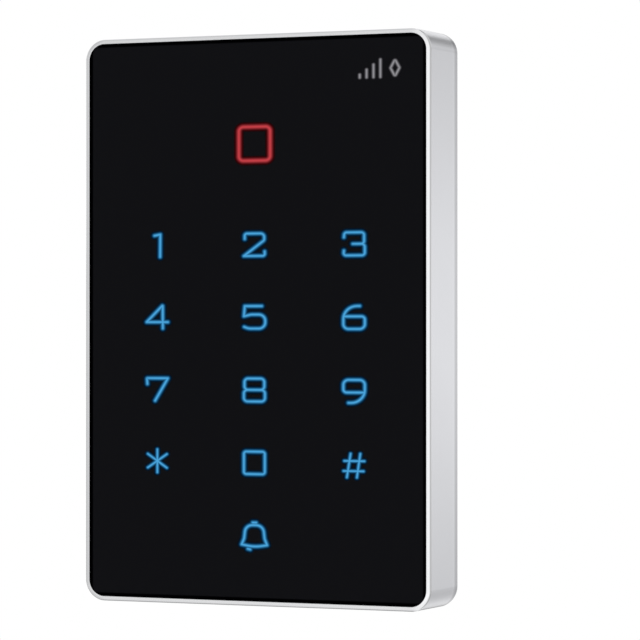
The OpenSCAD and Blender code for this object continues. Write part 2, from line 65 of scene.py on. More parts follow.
# %% Measure the frame
shell_low, shell_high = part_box("metal_frame")
glass_low, glass_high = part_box("front_glass")
front_y, rear_y = shell_low.y, shell_high.y
shell_w, shell_h = shell_high.x - shell_low.x, shell_high.z - shell_low.z
glass_front = glass_low.y
glass_gap = 0.1 * MM
lip_w = glass_low.x - shell_low.x - glass_gap
corner_r = 4.5 * MM
print(f"frame {shell_w / MM:.1f} x {shell_h / MM:.1f} mm, lip {lip_w / MM:.2f} mm")

# %% Measure the keys
key_low, key_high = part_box("key_leds")
led_w, led_h = 2.8 * MM, 3.5 * MM
key_pitch_x = (key_high.x - key_low.x - led_w) / 2
key_pitch_z = (key_high.z - key_low.z - led_h) / 4
bell_z = key_low.z + led_h / 2
square_low, square_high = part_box("indicator_leds")
indicator_z = (square_low.z + square_high.z) / 2
status_low, status_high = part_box("status_leds")
status_led_w = 1.6 * MM
status_xs = (status_low.x + status_led_w / 2, status_high.x - status_led_w / 2)
status_z = (status_low.z + status_high.z) / 2
print(f"keys {key_pitch_x / MM:.1f} x {key_pitch_z / MM:.1f} mm apart")

# %% [markdown]
# ## The camera
#
# The camera comes early, because the lights are placed round what it sees. It stands to
# the right of the reader, nearly level with its middle, and a long lens keeps the upright
# edges nearly parallel.

# %% Camera
CAMERA_TURN = radians(24.2)
CAMERA_RANGE = 737.5 * MM
CAMERA_DROP = 0.9 * MM
AIM_ASIDE = 7.575 * MM
SENSOR_MM = 36
LENS_MM = 194.17
camera_side = Vector((1, 0, 0))
camera_side.rotate(Matrix.Rotation(CAMERA_TURN, 3, "Z"))
camera_back = Vector((0, -1, 0))
camera_back.rotate(Matrix.Rotation(CAMERA_TURN, 3, "Z"))
aim = Vector((0, rear_y, 0)) + camera_side * AIM_ASIDE

camera = bpy.data.objects.new("camera", bpy.data.cameras.new("camera"))
camera.data.sensor_width = SENSOR_MM
camera.data.lens = LENS_MM
camera.data.clip_start = 10 * MM
camera.location = aim + camera_back * CAMERA_RANGE - Vector((0, 0, CAMERA_DROP))
camera.rotation_euler = (aim - camera.location).to_track_quat("-Z", "Y").to_euler()
bpy.context.scene.collection.objects.link(camera)
bpy.context.scene.camera = camera
bpy.context.scene.view_settings.view_transform = "Standard"
print("camera at", [round(c, 4) for c in camera.location])

# %% [markdown]
# ## Node graphs that read like sums
#
# Materials and Geometry Nodes are both graphs of boxes and wires. Two small classes keep
# them readable. `Wire` stands for one output: Python's own `+`, `-`, `*` and so on add
# Math nodes behind it. `Graph` has a single method that makes any node: its settings are
# set first, then each input gets a value or a wire.

# %% Wires that can be added and multiplied
class Wire:
    """One output of a node, on which Python's operators add Math nodes."""

    def __init__(self, graph, socket):
        self.graph = graph
        self.socket = socket

    def out(self, name):
        """Another output of the same node."""
        return Wire(self.graph, self.socket.node.outputs[name])

    def math(self, operation, *others):
        """A Math node on this wire, with the other values after it."""
        return self.graph.math(operation, self, *others)

    def __add__(self, other):
        return self.math("ADD", other)

    def __radd__(self, other):
        return self.math("ADD", other)

    def __sub__(self, other):
        return self.math("SUBTRACT", other)

    def __rsub__(self, other):
        return self.graph.math("SUBTRACT", other, self)

    def __mul__(self, other):
        return self.math("MULTIPLY", other)

    def __rmul__(self, other):
        return self.math("MULTIPLY", other)

    def __gt__(self, other):
        return self.math("GREATER_THAN", other)

    def __lt__(self, other):
        return self.math("LESS_THAN", other)

    def __abs__(self):
        return self.math("ABSOLUTE")


print("wires can take: + - * < > abs")

# %% One method for every other node
class Graph:
    """A node tree to which node() adds nodes."""

    def __init__(self, tree):
        self.tree = tree
        self.tree.nodes.clear()

    def node(self, kind, settings=None, inputs=None, output=0):
        """Adds a node: its settings first, then values or wires for its inputs."""
        made = self.tree.nodes.new(kind)
        for name, value in (settings or {}).items():
            if name == "stops":
                self.stops(made.color_ramp, value)
            else:
                setattr(made, name, value)
        for key, value in (inputs or {}).items():
            if isinstance(value, Wire):
                self.tree.links.new(value.socket, made.inputs[key])
            else:
                made.inputs[key].default_value = value
        return Wire(self, made.outputs[output]) if made.outputs else made

    def stops(self, ramp, stops):
        """Sets a ramp's stops, given as places and grey levels or colours."""
        while len(ramp.elements) < len(stops):
            ramp.elements.new(0.5)
        for element, (place, level) in zip(ramp.elements, stops):
            element.position = place
            element.color = (*level, 1) if isinstance(level, tuple) else (level,) * 3 + (1,)

    def math(self, operation, *values):
        """A Math node."""
        return self.node("ShaderNodeMath", {"operation": operation}, dict(enumerate(values)))


print("methods of a graph:", [name for name in vars(Graph) if not name.startswith("_")])

# %% [markdown]
# ## Materials
#
# `Paint` is a graph for one material: a Principled shader whose plain numbers are set on
# its own sockets, plus a few helpers for what changes over a surface. All patterns are
# worked out from the object's own coordinates, so they are as fine as on the real thing
# and stay put when a part moves.

# %% A graph for one material
# A Mix node has its own sockets for each kind of data: these are those for colours.
MIX_ONE, MIX_TWO, MIX_RESULT = 6, 7, 2


def screen(red, green, blue):
    """The shader's colour for a colour picked on a screen, each part from 0 to 255."""
    parts = [c / 255 for c in (red, green, blue)]
    return tuple(c / 12.92 if c <= 0.04045 else ((c + 0.055) / 1.055) ** 2.4 for c in parts)


class Paint(Graph):
    """A material with one Principled shader."""

    def __init__(self, name, color, roughness=0.5, metallic=0.0, **sockets):
        self.material = bpy.data.materials.new(name)
        self.material.use_nodes = True
        super().__init__(self.material.node_tree)
        shader = self.node("ShaderNodeBsdfPrincipled")
        self.shader = shader.socket.node
        self.node("ShaderNodeOutputMaterial", None, {"Surface": shader})
        self.place = self.node("ShaderNodeTexCoord").out("Object")
        self.set(Base_Color=(*color, 1), Roughness=roughness, Metallic=metallic, **sockets)

    def set(self, **sockets):
        """Sets the shader's sockets; an underscore in a name stands for a space."""
        for name, value in sockets.items():
            socket = self.shader.inputs[name.replace("_", " ")]
            if isinstance(value, Wire):
                self.tree.links.new(value.socket, socket)
            else:
                socket.default_value = value

    def axes(self):
        """The three coordinates, one wire each."""
        split = self.node("ShaderNodeSeparateXYZ", None, {0: self.place})
        return split.out("X"), split.out("Y"), split.out("Z")

    def stretched(self, x, y, z):
        """The coordinates multiplied by three factors, which draws a pattern out."""
        return self.node("ShaderNodeMapping", None, {"Vector": self.place, "Scale": (x, y, z)})

    def noise(self, grain, detail=2.0, place=None):
        """Soft noise from 0 to 1 whose blotches are about grain metres wide."""
        inputs = {"Vector": place or self.place, "Scale": 1 / grain, "Detail": detail}
        return self.node("ShaderNodeTexNoise", None, inputs)

    def ramp(self, value, *stops):
        """A value led through a ramp of stops."""
        return self.node("ShaderNodeValToRGB", {"stops": stops}, {0: value})

    def blend(self, factor, one, two, way="MIX"):
        """One colour where the factor is 0, and another, or both together, where it is 1."""
        inputs = {0: factor}
        for key, color in ((MIX_ONE, one), (MIX_TWO, two)):
            inputs[key] = color if isinstance(color, Wire) else (*color, 1)
        settings = {"data_type": "RGBA", "blend_type": way}
        return self.node("ShaderNodeMix", settings, inputs, MIX_RESULT)

    def bump(self, height, depth):
        """Relief of a given depth in metres, from a height of 0 to 1."""
        inputs = {"Height": height, "Distance": depth}
        self.set(Normal=self.node("ShaderNodeBump", None, inputs))


def tell(*materials):
    """Prints how many nodes each material has."""
    for material in materials:
        print(f"{material.name}: {len(material.node_tree.nodes)} nodes")


print("blue on a screen, in the shader:", [round(part, 3) for part in screen(0, 128, 255)])

# %% [markdown]
# ### Metals
#
# The sides of the frame are blasted and anodised: a fine, even grain that spreads
# reflections into soft bands. A ramp over the depth paints light and shade: a paler band
# near the rear, then painted shade over the last two millimetres. The lip round the
# glass is the same aluminium cut bright with a diamond, so it is smoother and paler.

# %% Frame metals
# Painted light and shade over the frame's depth: a little darker at the front edge, a paler band
# near the rear, then darker over the last two millimetres.
PAINTED_SHADE_OVER_DEPTH = [(0.0, 0.9), (0.06, 0.96), (0.78, 0.96), (0.81, 0.99), (0.835, 0.96),
                   (0.865, 0.84), (0.9, 0.7), (0.94, 0.72), (1.0, 0.85)]


def satin_aluminium():
    paint = Paint("satin_aluminium", (0.7, 0.705, 0.72), 0.3, 1.0)
    _, y, _ = paint.axes()
    # Painted light and shade: the ramp over the depth darkens or pales the colour.
    depth_shade = paint.ramp((y - front_y) * (1 / (rear_y - front_y)), *PAINTED_SHADE_OVER_DEPTH)
    cloud = paint.noise(14 * MM)
    grain = paint.noise(0.12 * MM, 3.0)
    speckled = paint.blend(grain, (0.705, 0.71, 0.74), (0.765, 0.77, 0.8))
    paint.set(Base_Color=paint.blend(1.0, speckled, depth_shade, "MULTIPLY"))
    paint.set(Roughness=0.18 + cloud * 0.04 + grain * 0.04)
    paint.bump(grain, 0.005 * MM)
    return paint.material


def bright_lip():
    paint = Paint("bright_lip", (0.9, 0.905, 0.92), 0.2, 1.0)
    cut = paint.noise(0.05 * MM)
    paint.set(Roughness=0.1 + cut * 0.06)
    paint.bump(cut, 0.0006 * MM)
    return paint.material


side_metal = satin_aluminium()
lip_metal = bright_lip()
tell(side_metal, lip_metal)

# %% [markdown]
# ### Black glass
#
# The pane is clear glass printed black on its rear. The ink swallows nearly all light,
# so only the glass surface reflects, which a clear coat over black does well. A strip
# next to the rim is painted darker and has no coat, as painted shade where the lip meets
# the pane, and faint smears left by a cloth change the gloss a little.

# %% Glass
INK = (0.0061, 0.0062, 0.0077)
# Painted shade: the strip next to the rim is darker than the ink and has no coat, so it shows no
# reflection.
RIM_SHADE = (0.0002, 0.0002, 0.0004)
RIM_ROUND = 2 * MM
RIM_DARK = 0.45 * MM
RIM_CLEAR = 0.85 * MM
GLASS_COAT = 0.38
COAT_BLUR = 0.05


def black_glass():
    paint = Paint("black_glass", INK, 0.3, Specular_IOR_Level=0.0, Coat_Roughness=COAT_BLUR)
    x, _, z = paint.axes()
    from_side = (glass_high.x - glass_low.x) / 2 - abs(x)
    from_end = (glass_high.z - glass_low.z) / 2 - abs(z)
    from_rim = from_side.math("SMOOTH_MIN", from_end, RIM_ROUND)
    unshaded = paint.node("ShaderNodeMapRange", {"interpolation_type": "SMOOTHSTEP"},
                        {0: from_rim, 1: RIM_DARK, 2: RIM_CLEAR})
    smear = paint.noise(22 * MM, 4.0, paint.stretched(1, 1, 2.2))
    # Painted shade along the rim: darker colour there, and no coat.
    paint.set(Base_Color=paint.blend(unshaded, RIM_SHADE, INK), Roughness=0.25 + smear * 0.1)
    paint.set(Coat_Weight=unshaded * GLASS_COAT)
    return paint.material


printed_glass = black_glass()
tell(printed_glass)

# %% [markdown]
# ### Lit signs
#
# The signs are windows in the black ink, lit from behind through a milky sheet. The
# light leaks a little way into the ink, so a stroke is palest along its middle and
# fades through a deeper colour into black. The pen that draws the strokes has a very low
# roof, and the height of the roof, a few thousandths of a millimetre, sets the colour:
# where strokes cross, the higher and brighter one shows. At strength 1 a sign shows the
# very colours that are written here. The clear coat is that of the glass round it.

# %% Signs
ROOF = 0.006 * MM
BLUE_GLOW = [(0.0, screen(0, 0, 3)), (0.05, screen(0, 8, 18)), (0.255, screen(0, 18, 38)),
             (0.47, screen(6, 53, 84)), (0.68, screen(38, 108, 155)), (0.79, screen(57, 139, 190)),
             (0.89, screen(74, 162, 217)), (1.0, screen(80, 174, 230))]
RED_GLOW = [(0.0, screen(0, 0, 0)), (0.18, screen(32, 1, 2)), (0.364, screen(60, 5, 8)),
            (0.545, screen(108, 24, 30)), (0.727, screen(155, 48, 54)),
            (0.82, screen(180, 58, 64)), (1.0, screen(207, 65, 73))]
GREY_GLOW = [(0.0, screen(0, 0, 0)), (0.3, screen(46, 45, 49)), (0.65, screen(110, 109, 113)),
             (1.0, screen(156, 155, 160))]


def lit_sign(name, *glow):
    paint = Paint(name, INK, 0.3, Specular_IOR_Level=0.0, Coat_Weight=GLASS_COAT,
                  Coat_Roughness=COAT_BLUR, Emission_Strength=1.0)
    _, y, _ = paint.axes()
    uneven = 1 - paint.noise(3 * MM, 1.0) * 0.06
    height = (glass_front - y) * (1 / ROOF)
    paint.set(Base_Color=paint.ramp(height, (0.0, INK), (0.2, 0.0)))
    paint.set(Emission_Color=paint.ramp(height * uneven, *glow))
    return paint.material


blue_light = lit_sign("blue_sign", *BLUE_GLOW)
red_light = lit_sign("red_sign", *RED_GLOW)
grey_light = lit_sign("grey_sign", *GREY_GLOW)
tell(blue_light, red_light, grey_light)

# %% [markdown]
# ### Plastics and rubber
#
# The rear cover is moulded in a spark-eroded tool, which leaves a fine pebbled skin. A
# cell pattern makes the pebbles, and the same pattern sets the gloss, because the tops
# of the pebbles are rubbed smoother than the valleys. Rubber is duller and smoother.

# %% Plastics
def moulded(name, color, pebble=0.35 * MM, depth=0.02 * MM, roughness=0.55):
    paint = Paint(name, color, roughness, Specular_IOR_Level=0.4)
    cells = paint.node("ShaderNodeTexVoronoi", None, {"Vector": paint.place, "Scale": 1 / pebble})
    fine = paint.noise(pebble / 3)
    height = cells * 0.7 + fine * 0.5
    paint.set(Roughness=roughness - 0.08 + cells * 0.12)
    # Painted light and shade: the colour follows the bump height, so pebble tops are paler and
    # valleys darker.
    paler = tuple(min(1, c * 1.35 + 0.004) for c in color)
    paint.set(Base_Color=paint.blend(height, color, paler))
    paint.bump(height, depth)
    return paint.material


def rubber(name, color):
    paint = Paint(name, color, 0.7, Specular_IOR_Level=0.3)
    dust = paint.noise(2 * MM, 4.0)
    paler = tuple(c * 1.6 + 0.006 for c in color)
    paint.set(Base_Color=paint.blend(dust, color, paler), Roughness=0.62 + dust * 0.2)
    paint.bump(paint.noise(0.2 * MM), 0.01 * MM)
    return paint.material


def clear_window():
    paint = Paint("clear_window", (0.93, 0.95, 0.97), 0.05, Transmission_Weight=1.0, IOR=1.49)
    paint.set(Roughness=0.04 + paint.noise(0.6 * MM) * 0.06)
    return paint.material


black_abs = moulded("black_abs", (0.012, 0.012, 0.0135))
chip_black = moulded("chip_black", (0.014, 0.014, 0.016), 0.12 * MM, 0.005 * MM, 0.5)
dark_plastic = moulded("dark_plastic", (0.02, 0.02, 0.022), 0.2 * MM, 0.008 * MM)
ivory = moulded("ivory_plastic", (0.8, 0.76, 0.62), 0.2 * MM, 0.004 * MM, 0.4)
white_case = moulded("white_case", (0.68, 0.68, 0.65), 0.2 * MM, 0.004 * MM, 0.4)
milky = moulded("milky_sheet", (0.82, 0.82, 0.8), 0.4 * MM, 0.004 * MM, 0.5)
led_yellow = moulded("lamp_phosphor", (0.85, 0.72, 0.3), 0.15 * MM, 0.01 * MM, 0.3)
ferrite = moulded("ferrite", (0.035, 0.035, 0.04), 0.15 * MM, 0.01 * MM, 0.6)
photocell = moulded("photocell", (0.4, 0.09, 0.03), 0.3 * MM, 0.02 * MM, 0.35)
soft_black = rubber("soft_black_rubber", (0.012, 0.012, 0.012))
foam = rubber("black_foam", (0.008, 0.008, 0.008))
clear_plastic = clear_window()
tell(black_abs, soft_black, clear_plastic)

# %% [markdown]
# ### Plated steel, copper and gold
#
# The bracket is cold-rolled sheet with a thin zinc coat: fine lines along the rolling
# direction and a cloudy, faintly blue tint. Screws and cans are brighter. Windings get
# fine ridges, one for each turn of wire.

# %% Plated metals
def zinc_sheet():
    paint = Paint("zinc_sheet", (0.58, 0.59, 0.61), 0.4, 1.0)
    lines = paint.noise(0.3 * MM, 3.0, paint.stretched(1, 1, 0.05))
    cloud = paint.noise(9 * MM, 3.0)
    paint.set(Base_Color=paint.blend(cloud, (0.54, 0.55, 0.58), (0.66, 0.66, 0.65)))
    paint.set(Roughness=0.32 + lines * 0.12 + cloud * 0.08)
    paint.bump(lines, 0.004 * MM)
    return paint.material


def turned_steel(name, color=(0.6, 0.6, 0.61), roughness=0.26):
    paint = Paint(name, color, roughness, 1.0)
    marks = paint.noise(0.15 * MM, 3.0)
    worn = paint.noise(1.2 * MM, 2.0)
    darker = tuple(c * 0.72 for c in color)
    paint.set(Base_Color=paint.blend(worn, darker, color), Roughness=roughness + marks * 0.14)
    paint.bump(marks, 0.003 * MM)
    return paint.material


def wound_copper(name, pitch, color=(0.62, 0.24, 0.09)):
    paint = Paint(name, color, 0.28, 1.0, Coat_Weight=0.5)
    _, y, _ = paint.axes()
    turns = (y * (1 / pitch)).math("PINGPONG", 0.5) * 2
    # Painted shade: the grooves between the turns get half the copper colour.
    paint.set(Base_Color=paint.blend(turns, tuple(c * 0.5 for c in color), color))
    paint.bump(turns, pitch / 4)
    return paint.material


def plated_gold():
    paint = Paint("plated_gold", (0.83, 0.6, 0.24), 0.2, 1.0)
    paint.set(Roughness=0.16 + paint.noise(0.4 * MM) * 0.16)
    return paint.material


sheet_zinc = zinc_sheet()
steel = turned_steel("turned_steel")
soft_iron = turned_steel("soft_iron", (0.42, 0.42, 0.43), 0.38)
tinned = turned_steel("tinned_can", (0.66, 0.67, 0.68), 0.3)
can_metal = turned_steel("can_metal", (0.7, 0.71, 0.73), 0.34)
antenna_wire = wound_copper("antenna_wire", 0.35 * MM)
relay_wire = wound_copper("relay_wire", 0.12 * MM)
gold = plated_gold()
tell(sheet_zinc, steel, antenna_wire, gold)

# %% [markdown]
# ### The circuit board
#
# Under the green mask lie copper tracks, which show as paler lines. Two crossed sets of
# bands, broken up by cells, look like tracks that run, stop and turn. Small gold rings
# are the through holes, one in the middle of some of the cells.

# %% Circuit board
BLOCK = 7 * MM
TRACK_PITCH = 0.8 * MM


def green_board():
    paint = Paint("green_board", (0.01, 0.09, 0.03), 0.35, Specular_IOR_Level=0.5)
    x, _, z = paint.axes()
    blocks = {"Vector": paint.place, "Scale": 1 / BLOCK}
    cells = paint.node("ShaderNodeTexVoronoi", None, blocks)
    turn = paint.node("ShaderNodeSeparateXYZ", None, {0: cells.out("Color")}).out("X") > 0.5
    across = (x * (1 / TRACK_PITCH)).math("PINGPONG", 0.5) > 0.3
    down = (z * (1 / TRACK_PITCH)).math("PINGPONG", 0.5) > 0.3
    tracks = across * turn + down * (1 - turn)
    hole = cells < 0.06
    mask = paint.blend(tracks, (0.006, 0.07, 0.022), (0.012, 0.13, 0.045))
    paint.set(Base_Color=paint.blend(hole, mask, (0.7, 0.5, 0.2)), Metallic=hole)
    paint.set(Roughness=0.3 + paint.noise(1 * MM) * 0.1)
    paint.bump(tracks, 0.02 * MM)
    return paint.material


board_green = green_board()
tell(board_green)

# %% [markdown]
# ## Geometry Nodes in a few lines
#
# `Shape` is a graph for a Geometry Nodes tree. It gets a named input for each size, and
# `bake` runs it on a starting mesh. A tree's inputs are known by an identifier, not by
# their name, so the sizes are set through that. The result becomes a plain mesh, and the
# modifier goes: what is left needs no tree any more.

# %% A graph for one shape
UPRIGHT = (radians(90), 0, 0)


class Shape(Graph):
    """A Geometry Nodes tree with a named input for each size."""

    def __init__(self, name, **sizes):
        super().__init__(bpy.data.node_groups.new(name, "GeometryNodeTree"))
        self.sizes = sizes
        self.socket("Start", "INPUT", "NodeSocketGeometry")
        self.socket("Shape", "OUTPUT", "NodeSocketGeometry")
        for size, value in sizes.items():
            kind = "NodeSocketInt" if isinstance(value, int) else "NodeSocketFloat"
            self.socket(size, "INPUT", kind)
        self.start = self.node("NodeGroupInput")

    def socket(self, name, side, kind):
        """Adds a socket to the tree's own sides."""
        self.tree.interface.new_socket(name=name, in_out=side, socket_type=kind)

    def size(self, name):
        """The wire of a named size."""
        return self.start.out(name)

    def join(self, *parts):
        """Several geometries as one."""
        joined = self.node("GeometryNodeJoinGeometry")
        for part in parts:
            self.tree.links.new(part.socket, joined.socket.node.inputs[0])
        return joined

    def moved(self, part, shift=(0, 0, 0), turn=(0, 0, 0)):
        """A geometry turned, then moved."""
        inputs = {"Geometry": part, "Translation": shift, "Rotation": turn}
        return self.node("GeometryNodeTransform", None, inputs)

    def finish(self, part, material, *others):
        """Ends the tree: real copies and a material, then others where they are wanted."""
        done = self.node("GeometryNodeRealizeInstances", None, {0: part})
        for wanted, metal in ((True, material), *others):
            inputs = {"Geometry": done, "Selection": wanted, "Material": metal}
            done = self.node("GeometryNodeSetMaterial", None, inputs)
        self.node("NodeGroupOutput", None, {0: done})

    def bake(self, name, start):
        """Runs the tree on a mesh and returns the result as a new plain mesh."""
        holder = bpy.data.objects.new(name + "_holder", start)
        bpy.context.scene.collection.objects.link(holder)
        modifier = holder.modifiers.new(name, "NODES")
        modifier.node_group = self.tree
        for item in self.tree.interface.items_tree:
            if item.in_out == "INPUT" and item.name in self.sizes:
                modifier[item.identifier] = self.sizes[item.name]
        depsgraph = bpy.context.evaluated_depsgraph_get()
        mesh = bpy.data.meshes.new_from_object(holder.evaluated_get(depsgraph))
        mesh.name = name
        bpy.data.objects.remove(holder)
        return mesh


print("methods of a shape:", [name for name in vars(Shape) if not name.startswith("_")])

# %% [markdown]
# Every finished piece ends the same way. Its doubled points are merged and its faces
# turned outwards, edges sharper than a limit stay crisp, and the object sits at the
# origin. `Weighted Normal` lets the big flat faces win over the small round ones, so
# that a flat side stays flat right up to its rounded edge.

# %% Turn a mesh into a piece
DOUBLES = 0.0005 * MM


def piece(name, mesh, body, replaced=(), materials=(), sharp=30, weighted=True):
    """An object of the scene made from a mesh, riding on a body."""
    work = bmesh.new()
    work.from_mesh(mesh)
    bmesh.ops.remove_doubles(work, verts=work.verts, dist=DOUBLES)
    bmesh.ops.recalc_face_normals(work, faces=work.faces)
    work.to_mesh(mesh)
    work.free()
    for material in materials:
        mesh.materials.append(material)
    mesh.shade_smooth()
    mesh.set_sharp_from_angle(angle=radians(sharp))
    made = bpy.data.objects.new(name, mesh)
    bpy.context.scene.collection.objects.link(made)
    if weighted:
        normals = made.modifiers.new("normals", "WEIGHTED_NORMAL")
        normals.keep_sharp = True
    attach(made, body)
    if replaced:
        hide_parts(*replaced)
    print(f"{name}: {len(mesh.polygons)} faces")
    return made


print(f"a piece merges points closer than {DOUBLES / MM:.4f} mm")

# %% [markdown]
# A tree starts from a mesh of plain edges. The bend that the line should have at a point
# is stored with the point, as an attribute, where the tree can read it.

# %% Lines for a tree
def line_mesh(name, lines):
    """A mesh of plain edges: each line is its points, each with a bend, and is closed or not."""
    mesh = bpy.data.meshes.new(name)
    points, bends, edges = [], [], []
    for line, closed in lines:
        first = len(points)
        points += [(x, y, 0) for x, y, bend in line]
        bends += [bend for x, y, bend in line]
        edges += [(first + k, first + k + 1) for k in range(len(line) - 1)]
        edges += [(len(points) - 1, first)] if closed else []
    mesh.from_pydata(points, edges, [])
    mesh.attributes.new("bend", "FLOAT", "POINT").data.foreach_set("value", bends)
    return mesh


trial = line_mesh("trial", [([(0, 0, 0), (1, 0, 0.2), (1, 1, 0)], True)])
print("a closed line of three points has", len(trial.edges), "edges")
bpy.data.meshes.remove(trial)

# %% [markdown]
# ## The frame
#
# The real frame is one aluminium part whose section is the same all the way round: lip,
# shelf for the glass, ledge for the rear cover. So its shape follows a rule, and a
# Geometry Nodes tree can make it: the section is drawn once and swept along a rectangle
# with round corners. Each point of the section may have a bend, which the Fillet Curve
# node turns into an arc: that gives the lip and the rear edge their soft edges. The lip
# itself falls a little towards the outside, so its four sides mirror different walls.

# %% Draw the frame's section
SHELF_WIDTH, SHELF_STEP = 3 * MM, 1.5 * MM
BAFFLE_ROOM, SEAL_ROOM = 0.3 * MM, 0.1 * MM
LIP_FALL = 0.2 * MM
LIP_BEND, REAR_BEND, MOUTH_BEND, CRISP = 0.5 * MM, 0.63 * MM, 0.25 * MM, 0.1 * MM
shelf_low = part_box("glass_gasket")[1].y
baffle_low, baffle_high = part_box("light_baffle")
seal_low, seal_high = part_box("rear_seal")
shelf_back = baffle_low.y + SHELF_STEP
cavity_half = baffle_high.x + BAFFLE_ROOM
recess_half = seal_high.x + SEAL_ROOM
half = shell_w / 2
shelf_half = half - lip_w - SHELF_WIDTH

section = [
    (0, front_y + LIP_FALL, LIP_BEND),
    (-lip_w, front_y, CRISP),
    (-lip_w, shelf_low, 0),
    (shelf_half - half, shelf_low, CRISP),
    (shelf_half - half, shelf_back, CRISP),
    (cavity_half - half, shelf_back, 0),
    (cavity_half - half, seal_low.y, CRISP),
    (recess_half - half, seal_low.y, 0),
    (recess_half - half, rear_y, MOUTH_BEND),
    (0, rear_y, REAR_BEND),
]
print("section points:", len(section))

# %% Sweep the section round the frame
def bent_line(shape, steps):
    """The starting line as a curve, bent at each point as its attribute says."""
    settings = {"data_type": "FLOAT"}
    bend = shape.node("GeometryNodeInputNamedAttribute", settings, {"Name": "bend"})
    line = shape.node("GeometryNodeMeshToCurve", None, {0: shape.start})
    inputs = {"Curve": line, "Radius": bend, "Count": steps, "Limit Radius": True}
    return shape.node("GeometryNodeFilletCurve", {"mode": "POLY"}, inputs)


def swept_section(shape):
    """The section, swept along a rectangle with round corners and stood upright."""
    profile = bent_line(shape, 5)
    sizes = {"Width": shape.size("Width"), "Height": shape.size("Height")}
    path = shape.node("GeometryNodeCurvePrimitiveQuadrilateral", None, sizes)
    inputs = {"Curve": path, "Radius": shape.size("Corner"), "Count": shape.size("Steps")}
    path = shape.node("GeometryNodeFilletCurve", {"mode": "POLY"}, inputs)
    swept = shape.node("GeometryNodeCurveToMesh", None, {0: path, 1: profile})
    return shape.moved(swept, turn=UPRIGHT)


shape = Shape("frame_shell", Width=shell_w, Height=shell_h, Corner=corner_r, Steps=16)
swept = swept_section(shape)
print("nodes so far:", len(shape.tree.nodes))

# %% [markdown]
# Inside stand the tubes that the screws go into: four pillars for the rear cover and
# four low lugs for the circuit board. A grid of two by two points carries each set. The
# bottom wall has a notch for the head of the security screw, cut out with a box.

# %% Pillars, lugs and notch
TUBE_R, COVER_PILOT_R, BOARD_PILOT_R = 3 * MM, 1.27 * MM, 1.02 * MM
COVER_HEAD_R, BOARD_HEAD_R = 2.3 * MM, 1.9 * MM
NOTCH_ROOM, NOTCH_HEIGHT = 0.35 * MM, 4 * MM
LIP_DEPTH = 0.6 * MM


def four_tubes(shape, spot, outer, inner, low, high):
    """A tube round Y at the four corners of a rectangle, from one depth to another."""
    circle = shape.node("GeometryNodeCurvePrimitiveCircle", None, {"Radius": (outer + inner) / 2})
    sizes = {"Width": outer - inner, "Height": high - low}
    wall = shape.node("GeometryNodeCurvePrimitiveQuadrilateral", None, sizes)
    tube = shape.node("GeometryNodeCurveToMesh", None, {0: circle, 1: wall})
    tube = shape.moved(tube, turn=UPRIGHT)
    sizes = {"Size X": 2 * spot.x, "Size Y": 2 * spot.z, "Vertices X": 2, "Vertices Y": 2}
    grid = shape.node("GeometryNodeMeshGrid", None, sizes)
    spots = shape.moved(grid, (0, (low + high) / 2, 0), UPRIGHT)
    return shape.node("GeometryNodeInstanceOnPoints", None, {"Points": spots, "Instance": tube})


def notch_box(shape):
    """The box that cuts the notch round the security screw's head."""
    low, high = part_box("security_screw")
    width = high.x - low.x + 2 * NOTCH_ROOM
    front = low.y - NOTCH_ROOM
    size = (width, rear_y - front + 1 * MM, NOTCH_HEIGHT)
    box = shape.node("GeometryNodeMeshCube", None, {"Size": size})
    return shape.moved(box, (0, front + size[1] / 2, -shell_h / 2))


cover_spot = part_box("cover_screws")[1] - Vector((COVER_HEAD_R, 0, COVER_HEAD_R))
board_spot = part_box("board_screws")[1] - Vector((BOARD_HEAD_R, 0, BOARD_HEAD_R))
cut = {0: swept, 1: notch_box(shape)}
body = shape.node("GeometryNodeMeshBoolean", {"operation": "DIFFERENCE"}, cut)
pillars = four_tubes(shape, cover_spot, TUBE_R, COVER_PILOT_R, shelf_back, seal_high.y)
lugs = four_tubes(shape, board_spot, TUBE_R, BOARD_PILOT_R, shelf_low, shelf_back)
place = shape.node("GeometryNodeInputPosition")
is_lip = shape.node("ShaderNodeSeparateXYZ", None, {0: place}).out("Y") < front_y + LIP_DEPTH
shape.finish(shape.join(body, pillars, lugs), side_metal, (is_lip, lip_metal))
shell_mesh = shape.bake("frame_shell", line_mesh("section", [(section, True)]))
piece("frame_shell", shell_mesh, "reader", ["metal_frame"])

# %% [markdown]
# ## The glass
#
# The pane is a flat sheet with round corners, and its front edge is ground and polished
# to a small bevel that catches a thin line of light. A Bevel modifier makes the ground
# edge on a plain slab.

# %% Glass pane
GROUND_EDGE = 0.12 * MM


def slab(name, low, high, radius, steps=12):
    """A slab that fills a box, with round corners seen from the front."""
    work = bmesh.new()
    centre = (low + high) / 2
    half_w, half_h = (high.x - low.x) / 2 - radius, (high.z - low.z) / 2 - radius
    corners = [(1, 1), (-1, 1), (-1, -1), (1, -1)]
    outline = []
    for quarter, (side, end) in enumerate(corners):
        for step in range(steps + 1):
            arm = Vector((radius, 0, 0))
            arm.rotate(Matrix.Rotation(-radians(90) * (quarter + step / steps), 3, "Y"))
            outline.append(centre + Vector((side * half_w, 0, end * half_h)) + arm)
    front = work.faces.new([work.verts.new((p.x, low.y, p.z)) for p in outline])
    pushed = bmesh.ops.extrude_face_region(work, geom=[front])
    moved = [part for part in pushed["geom"] if isinstance(part, bmesh.types.BMVert)]
    bmesh.ops.translate(work, verts=moved, vec=(0, high.y - low.y, 0))
    mesh = bpy.data.meshes.new(name)
    work.to_mesh(mesh)
    work.free()
    return mesh


